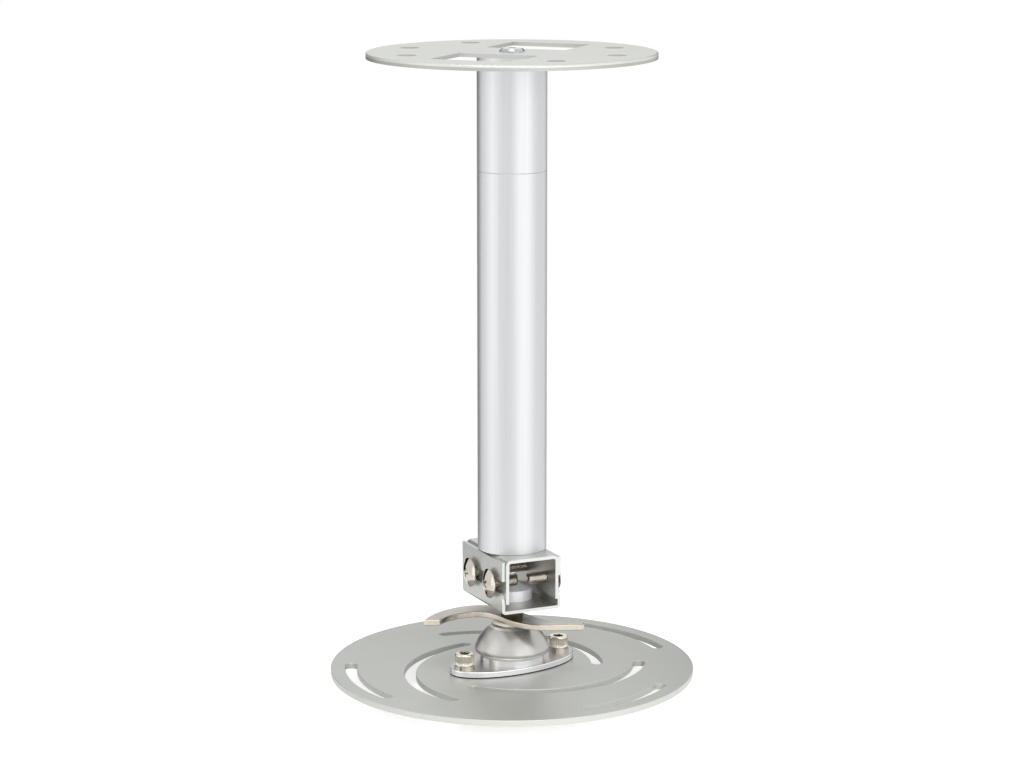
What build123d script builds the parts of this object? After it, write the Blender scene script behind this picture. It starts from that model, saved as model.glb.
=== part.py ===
"""Projector ceiling mount: a ceiling plate, a two-piece column, a hook-on bracket and a ball head.

Millimetres. The origin is the centre of the ceiling plate's upper face, +Z points up to the ceiling
and the plate's two cut-outs lie along Y. Everything hangs below the origin.
"""
import os
from math import acos, asin, cos, degrees, hypot, radians, sin, sqrt, tan

from build123d import *

os.makedirs("parts", exist_ok=True)

# Clearances
PRESS = 0.02        # radial, pieces that stay together
RUN = 0.05          # running and sliding fits
SLIDE = 0.15        # flat faces of the two brackets
SPHERE = 0.3        # ball, seats, socket and collar
HOLE = 0.3          # radial, a screw in a plain hole
EDGE = 0.5          # broken edges of plates and tubes

# Ceiling plate
CEILING_DIA = 194.0
CEILING_SHEET = 2.6
CEILING_RIM_H = 4.0             # depth of the turned-down rim
CEILING_EDGE = 1.0              # round of the rim's upper edge
CEILING_HOLE_DIA = 7.0
CEILING_SINK_DIA = 13.0
CEILING_SINK_ANGLE = 110
CEILING_HOLE_INSET = 22.5       # hole centres, in from the rim
CUTOUT_WIDTH = 57.0
CUTOUT_NEAR = 23.0              # near edge of each cut-out, from the centre
CUTOUT_RIM = 27.0               # metal outside each cut-out

# Column
TUBE_DIA = 47.0
TUBE_WALL = 2.5
UPPER_TUBE_L = 76.1
LOWER_TUBE_L = 260.0
PLUG_L = 22.0
COUPLER_L = 50.0
COUPLER_WALL = 3.0
BOLT_DIA = 8.0
BOLT_GRIP = 16.0                # thread inside a plug
CEILING_BOLT_HEAD = 17.0
CEILING_BOLT_HEAD_H = 2.4
CEILING_BOLT_BEVEL = 1.6        # height of the head's bevel
CEILING_BOLT_SOCKET = 5.0       # across flats
COLUMN_BOLT_HEAD = 13.0         # across flats
COLUMN_BOLT_HEAD_H = 5.3
HEX_BEVEL = 30.0                # degrees, corners of nuts and bolt heads
WASHER_DIA = 24.0
WASHER_T = 1.6

# Folded brackets: x across the channel, y to its closed end
BRACKET_TURN = 47.25
SHEET = 2.2
BEND = 1.4                      # inside radius of the upper bracket's folds
LOWER_BEND = 0.5                # inside radius of the lower bracket's sharper folds
UPPER_BRACKET_WIDTH = 39.0
UPPER_BRACKET_H = 30.4
BRACKET_L = 66.0
LOWER_BRACKET_H = 36.2
LOWER_BRACKET_BACK = 1.4        # the lower bracket sits this far behind the upper one
TUBE_GAP = 1.5                  # tube's rim to the lower bracket's flanges
SCREW_DIA = 8.0
SCREW_PITCH = 32.0
SCREW_BELOW_TUBE = 18.9
SCREW_REACH = 4.5               # screw tips from the channel's middle
SCREW_SLACK = 2.4               # heads stand this far off the lower bracket, which hooks in under them
SCREW_HEAD = 20.0
SCREW_HEAD_H = 3.8
SCREW_HEAD_LIP = 0.8
RECESS_SPAN = 8.5
RECESS_WIDTH = 1.7
RECESS_DEPTH = 2.6
LIP_ROUND = 6.0                 # lower lip of the slot's mouth
SLOT_CLEAR = 0.5

# Ball stud and lock
STUD_DIA = 8.0
STUD_SHOULDER = 15.0
STUD_SHOULDER_H = 3.6
STUD_NUT_DIA = 27.6
STUD_NUT_SIDE = 7.4             # height of the nut's straight side
STUD_NUT_FLAT = 10.0            # diameter of the nut's top
STUD_NUT_GAP = 0.9              # nut's top to the screw tips that pass over it
STUD_END_ROUND = 2.4            # round of the stud's upper end
STUD_BOLT_GAP = 9.7             # stud's end to the column bolt's head
LEVER_T = 4.0
LEVER_TURN = 22.5
LEVER_NUT = 13.0                # across flats
LEVER_NUT_H = 6.0
LEVER_NUT_GAP = 0.35            # lever nut to the stud's shoulder
LEVER_EDGE = 0.6                # round of the lever's edges
COLLAR_DIA = 19.0               # core that clamps the socket's lip
SKIRT_DIA = 27.2                # thin skirt that covers the socket's well
SKIRT_WEB = 0.6
SKIRT_LAND = 0.3                # flat lower edge of the skirt
SKIRT_BEVEL = 1.3

# Ball head
HEAD_TURN = 56.5
LEAN = 5.0                      # tilt and roll, each way
BALL_DIA = 25.0
BALL_FLOOR = 0.95               # ball to the projector plate
SEAT_WALL = 2.2
SEAT_MARGIN = 3.0               # degrees between the upper seat and the neck at full tilt
SEAT_LOW = 72.0                 # lower edge of the upper seat, degrees from straight up
SEAT_DRAIN_DIA = 10.0
LOCK_LIP = 1.7                  # socket wall that the collar clamps
RIM_SUNK = 1.0                  # well's rim below the top of the lip's sphere
RIM_LAND = 2.4
DOME_DIA = 50.8                 # where the dome's curve begins to turn under
DOME_TURN = 0.9                 # that ring above the ball's centre
DOME_BULGE = 1.4                # rise of the dome's curve over its chord
WAIST_BELOW = 4.8               # waist below the ball's centre
BASE_DIA = 44.0
FLANGE_L = 97.0
FLANGE_W = 49.0
FLANGE_T = 4.5
FLANGE_SCREW_PITCH = 78.0
CAP_SCREW_DIA = 8.0
CAP_HEAD = 13.0
CAP_HEAD_H = 8.0
CAP_SOCKET = 6.0                # across flats
CAP_SOCKET_DEPTH = 4.5
LOCK_WASHER_DIA = 14.0
LOCK_WASHER_T = 2.0
LOCK_WASHER_SPLIT = 1.4

# Projector plate
PLATE_DIA = 250.0
PLATE_T = 4.0
SLOT_WIDTH = 8.0
SPIRAL_RADIUS = 78.0
SPIRAL_OFFSET = 19.2            # centre of a spiral's arc from the plate's centre
SPIRAL_TURN = -98.4
SPIRAL_START = 88.3
SPIRAL_SWEEP = 109.6
OUTER_SLOT_INSET = 14.0         # middle of the outer slots, in from the rim
OUTER_SLOTS = ((146.5, 40.5), (262.8, 37.2), (-11.3, 40.3))    # start and sweep, degrees

# Lever outline in its own frame, a wide handle to the left and a slimmer tail to the right
LEVER_FRONT = (
    (-49.5, -14.8), (-42.4, -3.6), (-32.5, 3.2), (-20.4, 5.2), (-12.2, -0.2),
    (-4.1, -11.9), (5.0, -21.3), (19.8, -27.8), (34.0, -27.6), (45.5, -27.0),
)
LEVER_TAIL = (48.7, -24.6)
LEVER_BACK = (
    (48.8, -21.2), (36.0, -19.1), (27.5, -16.6), (20.0, -11.2), (12.2, -1.6), (4.1, 8.0),
    (-5.0, 17.3), (-20.6, 23.4), (-33.0, 20.6), (-46.9, 10.1), (-56.6, -4.6), (-60.2, -15.5),
)

# Heights of the column, from the ceiling down
tube_r = TUBE_DIA / 2
tube_bore_r = tube_r - TUBE_WALL
bolt_r = BOLT_DIA / 2
tube_top = -CEILING_SHEET
seam = tube_top - UPPER_TUBE_L
tube_end = seam - LOWER_TUBE_L
upper_web = tube_end - SHEET

# Bracket planes, seen from the open end and from the side
bracket_frame = Plane.XY.rotated((0, 0, BRACKET_TURN))
bracket_front = Plane(bracket_frame.origin, x_dir=bracket_frame.x_dir, z_dir=-bracket_frame.y_dir)
bracket_side = Plane(bracket_frame.origin, x_dir=bracket_frame.y_dir, z_dir=bracket_frame.x_dir)
upper_half = UPPER_BRACKET_WIDTH / 2
lower_half = upper_half + SLIDE + SHEET
upper_front = BRACKET_L / 2
lower_front = upper_front - LOWER_BRACKET_BACK
screw_r = SCREW_DIA / 2
screw_y = SCREW_PITCH / 2
screw_z = tube_end - SCREW_BELOW_TUBE
lower_top = tube_end - TUBE_GAP
lower_under = lower_top - LOWER_BRACKET_H
lower_web = lower_under + SHEET

# Radii of the ball head, from the ball outwards
stud_r = STUD_DIA / 2
collar_r = COLLAR_DIA / 2
ball_r = BALL_DIA / 2
seat_in = ball_r + SPHERE
seat_out = seat_in + SEAT_WALL
socket_r = seat_out + SPHERE
lip_r = socket_r + LOCK_LIP
collar_cup = lip_r + SPHERE

# With tilt and roll at their limits the stud clears the socket's lip, the collar's core clears the
# well and the well's rim clears the collar's skirt
full_lean = acos(cos(radians(LEAN)) ** 2)
rim_height = lip_r - RIM_SUNK
neck_hole_r = lip_r * sin(asin(stud_r / lip_r) + full_lean) + 2 * SPHERE
well_r = rim_height * tan(full_lean) + collar_r / cos(full_lean) + SPHERE
rim_r = well_r + RIM_LAND
skirt_r = SKIRT_DIA / 2
skirt_cup = hypot(rim_r, rim_height) + SPHERE
web_under = rim_height * cos(full_lean) + rim_r * sin(full_lean) + SPHERE

# Heights of the lock and the ball head
shoulder_under = lower_under - STUD_SHOULDER_H
lever_top = shoulder_under - LEVER_NUT_GAP - LEVER_NUT_H
lever_under = lever_top - LEVER_T
collar_top = lever_under - RUN
ball_z = collar_top - SKIRT_WEB - web_under
rim = ball_z + rim_height
plate_top = ball_z - ball_r - BALL_FLOOR
plate_under = plate_top - PLATE_T
flange_top = plate_top + FLANGE_T
cap_seat = flange_top + LOCK_WASHER_T
head_frame = Plane.XY.rotated((0, 0, HEAD_TURN))


def on_sphere(radius, polar):
    """Point of a half section, on a sphere about the ball's centre, polar degrees from straight up."""
    return (radius * sin(radians(polar)), ball_z + radius * cos(radians(polar)))


def polar_at(radius, across):
    """Degrees from straight up where a sphere about the ball's centre is this far from the axis."""
    return degrees(asin(across / radius))


def sphere_arc(radius, start, end):
    """Arc of a half section about the ball's centre."""
    ThreePointArc(on_sphere(radius, start), on_sphere(radius, (start + end) / 2), on_sphere(radius, end))


def hex_bevel(across, seat, end):
    """Corners of a half section that takes the corners off a hexagon at its free end."""
    corner = across / sqrt(3)
    drop = (corner - across / 2) * tan(radians(HEX_BEVEL))
    shoulder = end - drop if end > seat else end + drop
    return ((0, seat), (corner, seat), (corner, shoulder), (across / 2, end), (0, end))


# Ceiling plate: pressed sheet with a turned-down rim, two windows and six countersunk holes
cutout_far = CEILING_DIA / 2 - CUTOUT_RIM
cutout_mid = (CUTOUT_NEAR + cutout_far) / 2
hole_circle = CEILING_DIA / 2 - CEILING_HOLE_INSET
with BuildPart() as ceiling_plate:
    with BuildSketch(Plane.XY.offset(-CEILING_RIM_H)):
        Circle(CEILING_DIA / 2)
    extrude(amount=CEILING_RIM_H)
    fillet(ceiling_plate.edges().group_by(Axis.Z)[-1], CEILING_EDGE)
    with BuildSketch(Plane.XY.offset(-CEILING_RIM_H)):
        Circle(CEILING_DIA / 2 - CEILING_SHEET)
    extrude(amount=CEILING_RIM_H - CEILING_SHEET, mode=Mode.SUBTRACT)
    with BuildSketch():
        Circle(bolt_r + HOLE)
        with Locations((0, cutout_mid), (0, -cutout_mid)):
            Rectangle(CUTOUT_WIDTH, cutout_far - CUTOUT_NEAR)
    extrude(amount=-CEILING_SHEET, mode=Mode.SUBTRACT)
    with PolarLocations(hole_circle, 2):
        CounterSinkHole(CEILING_HOLE_DIA / 2, CEILING_SINK_DIA / 2, CEILING_SHEET, CEILING_SINK_ANGLE)
    with PolarLocations(hole_circle, 4, start_angle=45):
        CounterSinkHole(CEILING_HOLE_DIA / 2, CEILING_SINK_DIA / 2, CEILING_SHEET, CEILING_SINK_ANGLE)

# Ceiling bolt: low round head with a hexagon socket, threaded into the upper plug
with BuildPart() as ceiling_bolt:
    with BuildSketch():
        Circle(CEILING_BOLT_HEAD / 2)
    extrude(amount=CEILING_BOLT_HEAD_H)
    chamfer(ceiling_bolt.edges().group_by(Axis.Z)[-1], CEILING_BOLT_BEVEL)
    with BuildSketch(Plane.XY.offset(CEILING_BOLT_HEAD_H)):
        RegularPolygon(CEILING_BOLT_SOCKET / 2, 6, major_radius=False)
    extrude(amount=-CEILING_BOLT_HEAD_H / 2, mode=Mode.SUBTRACT)
    with BuildSketch(Plane.XY.offset(tube_top - BOLT_GRIP)):
        Circle(bolt_r)
    extrude(amount=CEILING_SHEET + BOLT_GRIP)

# Plugs: turned discs pressed into the ends of the column, with a tapped hole for a bolt
with BuildPart() as upper_plug:
    with BuildSketch(Plane.XY.offset(tube_top - PLUG_L)):
        Circle(tube_bore_r - PRESS)
        Circle(bolt_r + PRESS, mode=Mode.SUBTRACT)
    extrude(amount=PLUG_L)

with BuildPart() as lower_plug:
    with BuildSketch(Plane.XY.offset(tube_end)):
        Circle(tube_bore_r - PRESS)
        Circle(bolt_r + PRESS, mode=Mode.SUBTRACT)
    extrude(amount=PLUG_L)

# Column tubes: two lengths that meet at a fine broken edge
with BuildPart() as upper_tube:
    with BuildSketch(Plane.XY.offset(seam)):
        Circle(tube_r)
        Circle(tube_bore_r, mode=Mode.SUBTRACT)
    extrude(amount=UPPER_TUBE_L)
    ends = upper_tube.edges().filter_by(GeomType.CIRCLE).group_by(SortBy.RADIUS)[-1]
    chamfer(ends.sort_by(Axis.Z)[0], EDGE / 2)

with BuildPart() as lower_tube:
    with BuildSketch(Plane.XY.offset(tube_end)):
        Circle(tube_r)
        Circle(tube_bore_r, mode=Mode.SUBTRACT)
    extrude(amount=LOWER_TUBE_L)
    ends = lower_tube.edges().filter_by(GeomType.CIRCLE).group_by(SortBy.RADIUS)[-1]
    chamfer(ends, EDGE / 2)

# Coupler: sleeve inside both tubes, half its length in each
with BuildPart() as tube_coupler:
    with BuildSketch(Plane.XY.offset(seam - COUPLER_L / 2)):
        Circle(tube_bore_r - PRESS)
        Circle(tube_bore_r - COUPLER_WALL, mode=Mode.SUBTRACT)
    extrude(amount=COUPLER_L)

# Upper bracket: sheet folded to an upside-down channel, bolted under the column
with BuildPart() as upper_bracket:
    with BuildSketch(bracket_front.offset(upper_front)):
        fold = upper_half - SHEET / 2
        with BuildLine():
            FilletPolyline(
                (-fold, tube_end - UPPER_BRACKET_H), (-fold, tube_end - SHEET / 2),
                (fold, tube_end - SHEET / 2), (fold, tube_end - UPPER_BRACKET_H), radius=BEND + SHEET / 2,
            )
        trace(line_width=SHEET)
    extrude(amount=-BRACKET_L)
    with BuildSketch(Plane.XY.offset(tube_end)):
        Circle(bolt_r + HOLE)
    extrude(amount=-SHEET, mode=Mode.SUBTRACT)
    with BuildSketch(bracket_side):
        with Locations((-screw_y, screw_z), (screw_y, screw_z)):
            Circle(screw_r + PRESS)
    extrude(amount=upper_half, both=True, mode=Mode.SUBTRACT)

# Column bolt and washer: hexagon head under the upper bracket's web
with BuildPart() as column_washer:
    with BuildSketch(Plane.XY.offset(upper_web)):
        Circle(WASHER_DIA / 2)
        Circle(bolt_r + HOLE, mode=Mode.SUBTRACT)
    extrude(amount=-WASHER_T)

column_bolt_seat = upper_web - WASHER_T
with BuildPart() as column_bolt:
    with BuildSketch(Plane.XY.offset(column_bolt_seat)):
        RegularPolygon(COLUMN_BOLT_HEAD / 2, 6, major_radius=False)
    extrude(amount=-COLUMN_BOLT_HEAD_H)
    with BuildSketch(Plane.XZ):
        Polygon(
            *hex_bevel(COLUMN_BOLT_HEAD, column_bolt_seat, column_bolt_seat - COLUMN_BOLT_HEAD_H),
            align=None,
        )
    revolve(axis=Axis.Z, mode=Mode.INTERSECT)
    with BuildSketch(Plane.XY.offset(column_bolt_seat)):
        Circle(bolt_r)
    extrude(amount=tube_end + BOLT_GRIP - column_bolt_seat)

# Lower bracket: folded channel whose slots, open at the front, hook over the screws
with BuildPart() as lower_bracket:
    with BuildSketch(bracket_front.offset(lower_front)):
        fold = lower_half - SHEET / 2
        with BuildLine():
            FilletPolyline(
                (-fold, lower_top), (-fold, lower_under + SHEET / 2),
                (fold, lower_under + SHEET / 2), (fold, lower_top), radius=LOWER_BEND + SHEET / 2,
            )
        trace(line_width=SHEET)
    extrude(amount=-BRACKET_L)
    with BuildSketch(bracket_side):
        with Locations((screw_y, screw_z)):
            Circle(screw_r + SLOT_CLEAR)
        with Locations(((screw_y - BRACKET_L) / 2, screw_z)):
            Rectangle(screw_y + BRACKET_L, SCREW_DIA + 2 * SLOT_CLEAR)
    extrude(amount=lower_half, both=True, mode=Mode.SUBTRACT)
    slot_floor = screw_z - screw_r - SLOT_CLEAR
    lips = lower_bracket.edges().filter_by(Axis((0, 0, 0), tuple(bracket_frame.x_dir)))
    lips = lips.filter_by_position(Axis.Z, slot_floor - RUN, slot_floor + RUN)
    fillet(lips.group_by(Axis((0, 0, 0), tuple(bracket_frame.y_dir)))[0], LIP_ROUND)
    with BuildSketch(Plane.XY.offset(lower_under)):
        Circle(stud_r + PRESS)
    extrude(amount=SHEET, mode=Mode.SUBTRACT)

# Bracket screws: low domed heads with a cross recess, tapped into the upper bracket from both sides
screw_seat = lower_half + SCREW_SLACK
with BuildPart() as bracket_screw:
    with BuildSketch(Plane.XZ):
        with BuildLine():
            Polyline((0, SCREW_HEAD_H), (0, 0), (SCREW_HEAD / 2, 0), (SCREW_HEAD / 2, SCREW_HEAD_LIP))
            TangentArc((0, SCREW_HEAD_H), (SCREW_HEAD / 2, SCREW_HEAD_LIP), tangent=(1, 0))
        make_face()
    revolve(axis=Axis.Z)
    with BuildSketch(Plane.XY.offset(SCREW_HEAD_H)):
        Rectangle(RECESS_SPAN, RECESS_WIDTH)
        Rectangle(RECESS_WIDTH, RECESS_SPAN)
    extrude(amount=-RECESS_DEPTH, mode=Mode.SUBTRACT)
    with BuildSketch():
        Circle(screw_r)
    extrude(amount=SCREW_REACH - screw_seat)
    chamfer(bracket_screw.edges().group_by(Axis.Z)[0], EDGE)

screw_planes = []
for outward in (-1, 1):
    for along in (-screw_y, screw_y):
        seat_point = bracket_frame.from_local_coords((outward * screw_seat, along, screw_z))
        screw_planes.append(Plane(seat_point, x_dir=bracket_frame.y_dir, z_dir=bracket_frame.x_dir * outward))
with BuildPart() as bracket_screws:
    with Locations(*[plane.location for plane in screw_planes]):
        add(bracket_screw.part)

# Ball stud: ball, neck, shoulder under the bracket and thread, turned in one
stud_end = column_bolt_seat - COLUMN_BOLT_HEAD_H - STUD_BOLT_GAP
with BuildPart() as ball_stud:
    with BuildSketch(Plane.XZ):
        neck = polar_at(ball_r, stud_r)
        with BuildLine():
            sphere_arc(ball_r, 180, neck)
            Polyline(
                on_sphere(ball_r, neck), (stud_r, shoulder_under), (STUD_SHOULDER / 2, shoulder_under),
                (STUD_SHOULDER / 2, lower_under), (stud_r, lower_under), (stud_r, stud_end),
                (0, stud_end), on_sphere(ball_r, 180),
            )
        make_face()
    revolve(axis=Axis.Z)
    fillet(ball_stud.edges().group_by(Axis.Z)[-1], STUD_END_ROUND)

# Stud nut: round conical nut inside the channel, low enough to pass under the screw tips
stud_nut_top = screw_z - screw_r - STUD_NUT_GAP
with BuildPart() as stud_nut:
    with BuildSketch(Plane.XZ):
        side_top = lower_web + STUD_NUT_SIDE
        with BuildLine():
            Polyline(
                (0, stud_nut_top), (0, lower_web), (STUD_NUT_DIA / 2, lower_web),
                (STUD_NUT_DIA / 2, side_top), (STUD_NUT_FLAT / 2, stud_nut_top), (0, stud_nut_top),
            )
        make_face()
    revolve(axis=Axis.Z)
    with BuildSketch(Plane.XY.offset(lower_web)):
        Circle(stud_r + PRESS)
    extrude(amount=stud_nut_top - lower_web, mode=Mode.SUBTRACT)

# Lock lever: cut plate with a swept handle and tail, turning on the stud's thread
with BuildPart() as lever_blank:
    with BuildSketch():
        with BuildLine():
            Spline(*LEVER_FRONT)
            ThreePointArc(LEVER_FRONT[-1], LEVER_TAIL, LEVER_BACK[0])
            Spline(*LEVER_BACK)
            Line(LEVER_BACK[-1], LEVER_FRONT[0])
        make_face()
    extrude(amount=LEVER_T)
    fillet(lever_blank.edges().filter_by(Plane.XY), LEVER_EDGE)
    with BuildSketch():
        Circle(stud_r + RUN)
    extrude(amount=LEVER_T, mode=Mode.SUBTRACT)

lever_frame = Plane.XY.rotated((0, 0, LEVER_TURN)).offset(lever_under)
with BuildPart() as lock_lever:
    with Locations(lever_frame.location):
        add(lever_blank.part)

# Lever nut: hexagon nut welded on the lever
with BuildPart() as lever_nut:
    with BuildSketch(lever_frame.offset(LEVER_T)):
        RegularPolygon(LEVER_NUT / 2, 6, major_radius=False)
        Circle(stud_r + RUN, mode=Mode.SUBTRACT)
    extrude(amount=LEVER_NUT_H)
    with BuildSketch(Plane.XZ):
        Polygon(*hex_bevel(LEVER_NUT, lever_top, lever_top + LEVER_NUT_H), align=None)
    revolve(axis=Axis.Z, mode=Mode.INTERSECT)

# Collar: pressed down by the lever, its core clamps the socket's lip and its skirt covers the well
with BuildPart() as lock_collar:
    with BuildSketch(Plane.XZ):
        bore = stud_r + PRESS
        web_r = sqrt(skirt_cup ** 2 - web_under ** 2)
        skirt_edge = on_sphere(skirt_cup, polar_at(skirt_cup, skirt_r - SKIRT_LAND))
        with BuildLine():
            sphere_arc(collar_cup, polar_at(collar_cup, bore), polar_at(collar_cup, collar_r))
            Polyline(
                on_sphere(collar_cup, polar_at(collar_cup, collar_r)), (collar_r, ball_z + web_under),
                on_sphere(skirt_cup, polar_at(skirt_cup, web_r)),
            )
            sphere_arc(skirt_cup, polar_at(skirt_cup, web_r), polar_at(skirt_cup, skirt_r - SKIRT_LAND))
            Polyline(
                skirt_edge, (skirt_r, skirt_edge[1]), (skirt_r, collar_top - SKIRT_BEVEL),
                (skirt_r - SKIRT_BEVEL, collar_top), (bore, collar_top),
                on_sphere(collar_cup, polar_at(collar_cup, bore)),
            )
        make_face()
    revolve(axis=Axis.Z)

# Ball seats: an upper ring that follows the tilt and a lower cup that follows the roll
seat_high = polar_at(seat_in, stud_r) + LEAN + SEAT_MARGIN
with BuildPart() as upper_ball_seat:
    with BuildSketch(Plane.XZ):
        with BuildLine():
            sphere_arc(seat_in, seat_high, SEAT_LOW)
            Line(on_sphere(seat_in, SEAT_LOW), on_sphere(seat_out, SEAT_LOW))
            sphere_arc(seat_out, SEAT_LOW, seat_high)
            Line(on_sphere(seat_out, seat_high), on_sphere(seat_in, seat_high))
        make_face()
    revolve(axis=Axis.Z)

with BuildPart() as lower_ball_seat:
    with BuildSketch(Plane.XZ):
        drain = 180 - polar_at(seat_in, SEAT_DRAIN_DIA / 2)
        with BuildLine():
            sphere_arc(seat_in, 90, drain)
            Polyline(
                on_sphere(seat_in, drain), (SEAT_DRAIN_DIA / 2, plate_top + RUN),
                (socket_r - RUN, plate_top + RUN), (socket_r - RUN, ball_z), on_sphere(seat_in, 90),
            )
        make_face()
    revolve(axis=Axis.Z)

# Socket housing: cast dome on a waisted base with an oval flange
with BuildPart() as socket_housing:
    with BuildSketch(head_frame.offset(plate_top)):
        Ellipse(FLANGE_L / 2, FLANGE_W / 2)
        with Locations((-FLANGE_SCREW_PITCH / 2, 0), (FLANGE_SCREW_PITCH / 2, 0)):
            Circle(CAP_SCREW_DIA / 2 + HOLE, mode=Mode.SUBTRACT)
    extrude(amount=FLANGE_T)
    fillet(socket_housing.edges().group_by(Axis.Z)[-1].sort_by(SortBy.LENGTH)[-1], EDGE)
    with BuildSketch(Plane.XZ):
        waist = ball_z - WAIST_BELOW
        with BuildLine():
            Polyline((0, plate_top), (0, rim), (rim_r, rim))
            dome = SagittaArc((rim_r, rim), (DOME_DIA / 2, ball_z + DOME_TURN), DOME_BULGE)
            TangentArc(dome @ 1, (BASE_DIA / 2, waist), tangent=dome % 1)
            Polyline((BASE_DIA / 2, waist), (BASE_DIA / 2, plate_top), (0, plate_top))
        make_face()
    revolve(axis=Axis.Z)
    fillet(socket_housing.edges().group_by(Axis.Z)[-1], EDGE)
    with BuildSketch(Plane.XZ):
        with BuildLine():
            Polyline((0, plate_top), (socket_r, plate_top), (socket_r, ball_z))
            sphere_arc(socket_r, 90, polar_at(socket_r, neck_hole_r))
            Line(
                on_sphere(socket_r, polar_at(socket_r, neck_hole_r)),
                on_sphere(lip_r, polar_at(lip_r, neck_hole_r)),
            )
            sphere_arc(lip_r, polar_at(lip_r, neck_hole_r), polar_at(lip_r, well_r))
            Polyline(on_sphere(lip_r, polar_at(lip_r, well_r)), (well_r, rim), (0, rim), (0, plate_top))
        make_face()
    revolve(axis=Axis.Z, mode=Mode.SUBTRACT)

# Flange screws: socket-head cap screws with split washers, tapped into the projector plate
flange_points = [
    head_frame.from_local_coords((side * FLANGE_SCREW_PITCH / 2, 0, 0)) for side in (-1, 1)
]
with BuildPart() as cap_screw:
    with BuildSketch(Plane.XY.offset(cap_seat)):
        Circle(CAP_HEAD / 2)
    extrude(amount=CAP_HEAD_H)
    chamfer(cap_screw.edges().group_by(Axis.Z)[-1], EDGE)
    with BuildSketch(Plane.XY.offset(cap_seat + CAP_HEAD_H)):
        RegularPolygon(CAP_SOCKET / 2, 6, major_radius=False)
    extrude(amount=-CAP_SOCKET_DEPTH, mode=Mode.SUBTRACT)
    with BuildSketch(Plane.XY.offset(plate_under + EDGE)):
        Circle(CAP_SCREW_DIA / 2)
    extrude(amount=cap_seat - plate_under - EDGE)

with BuildPart() as lock_washer:
    with BuildSketch(Plane.XY.offset(flange_top)):
        Circle(LOCK_WASHER_DIA / 2)
        Circle(CAP_SCREW_DIA / 2 + HOLE, mode=Mode.SUBTRACT)
        with Locations((0, -LOCK_WASHER_DIA / 2)):
            Rectangle(LOCK_WASHER_SPLIT, LOCK_WASHER_DIA, mode=Mode.SUBTRACT)
    extrude(amount=LOCK_WASHER_T)

with BuildPart() as flange_screws:
    with Locations(*flange_points):
        add(cap_screw.part)

with BuildPart() as flange_lock_washers:
    with Locations(*flange_points):
        add(lock_washer.part)

# Projector plate: disc with three spiral slots, three rim slots and two tapped holes
slot_arcs = []
for turn in (0, 120, 240):
    centre = Vector(SPIRAL_OFFSET, 0).rotate(Axis.Z, SPIRAL_TURN + turn)
    slot_arcs.append(CenterArc(centre, SPIRAL_RADIUS, SPIRAL_START + turn, SPIRAL_SWEEP))
for start, sweep in OUTER_SLOTS:
    slot_arcs.append(CenterArc((0, 0), PLATE_DIA / 2 - OUTER_SLOT_INSET, start, sweep))
with BuildPart() as projector_plate:
    with BuildSketch(head_frame.offset(plate_under)):
        Circle(PLATE_DIA / 2)
        with Locations((-FLANGE_SCREW_PITCH / 2, 0), (FLANGE_SCREW_PITCH / 2, 0)):
            Circle(CAP_SCREW_DIA / 2 + PRESS, mode=Mode.SUBTRACT)
        for arc in slot_arcs:
            SlotArc(arc, SLOT_WIDTH, mode=Mode.SUBTRACT)
    extrude(amount=PLATE_T)
    levels = projector_plate.edges().group_by(Axis.Z)
    chamfer(levels[0] + levels[-1], EDGE / 2)

pieces = {
    "ceiling_plate": ceiling_plate,
    "ceiling_bolt": ceiling_bolt,
    "upper_plug": upper_plug,
    "upper_tube": upper_tube,
    "tube_coupler": tube_coupler,
    "lower_tube": lower_tube,
    "lower_plug": lower_plug,
    "column_washer": column_washer,
    "column_bolt": column_bolt,
    "upper_bracket": upper_bracket,
    "bracket_screws": bracket_screws,
    "lower_bracket": lower_bracket,
    "ball_stud": ball_stud,
    "stud_nut": stud_nut,
    "lock_lever": lock_lever,
    "lever_nut": lever_nut,
    "lock_collar": lock_collar,
    "upper_ball_seat": upper_ball_seat,
    "lower_ball_seat": lower_ball_seat,
    "socket_housing": socket_housing,
    "flange_lock_washers": flange_lock_washers,
    "flange_screws": flange_screws,
    "projector_plate": projector_plate,
}
for name, piece in pieces.items():
    piece.part.label = name
    export_step(piece.part, f"parts/{name}.step")
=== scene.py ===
"""Projector ceiling mount, standing on its projector plate: finishes, fine fasteners, studio and camera."""
from math import cos, pi, radians, sin

import bmesh
import bpy
from mathutils import Matrix, Vector


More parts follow.
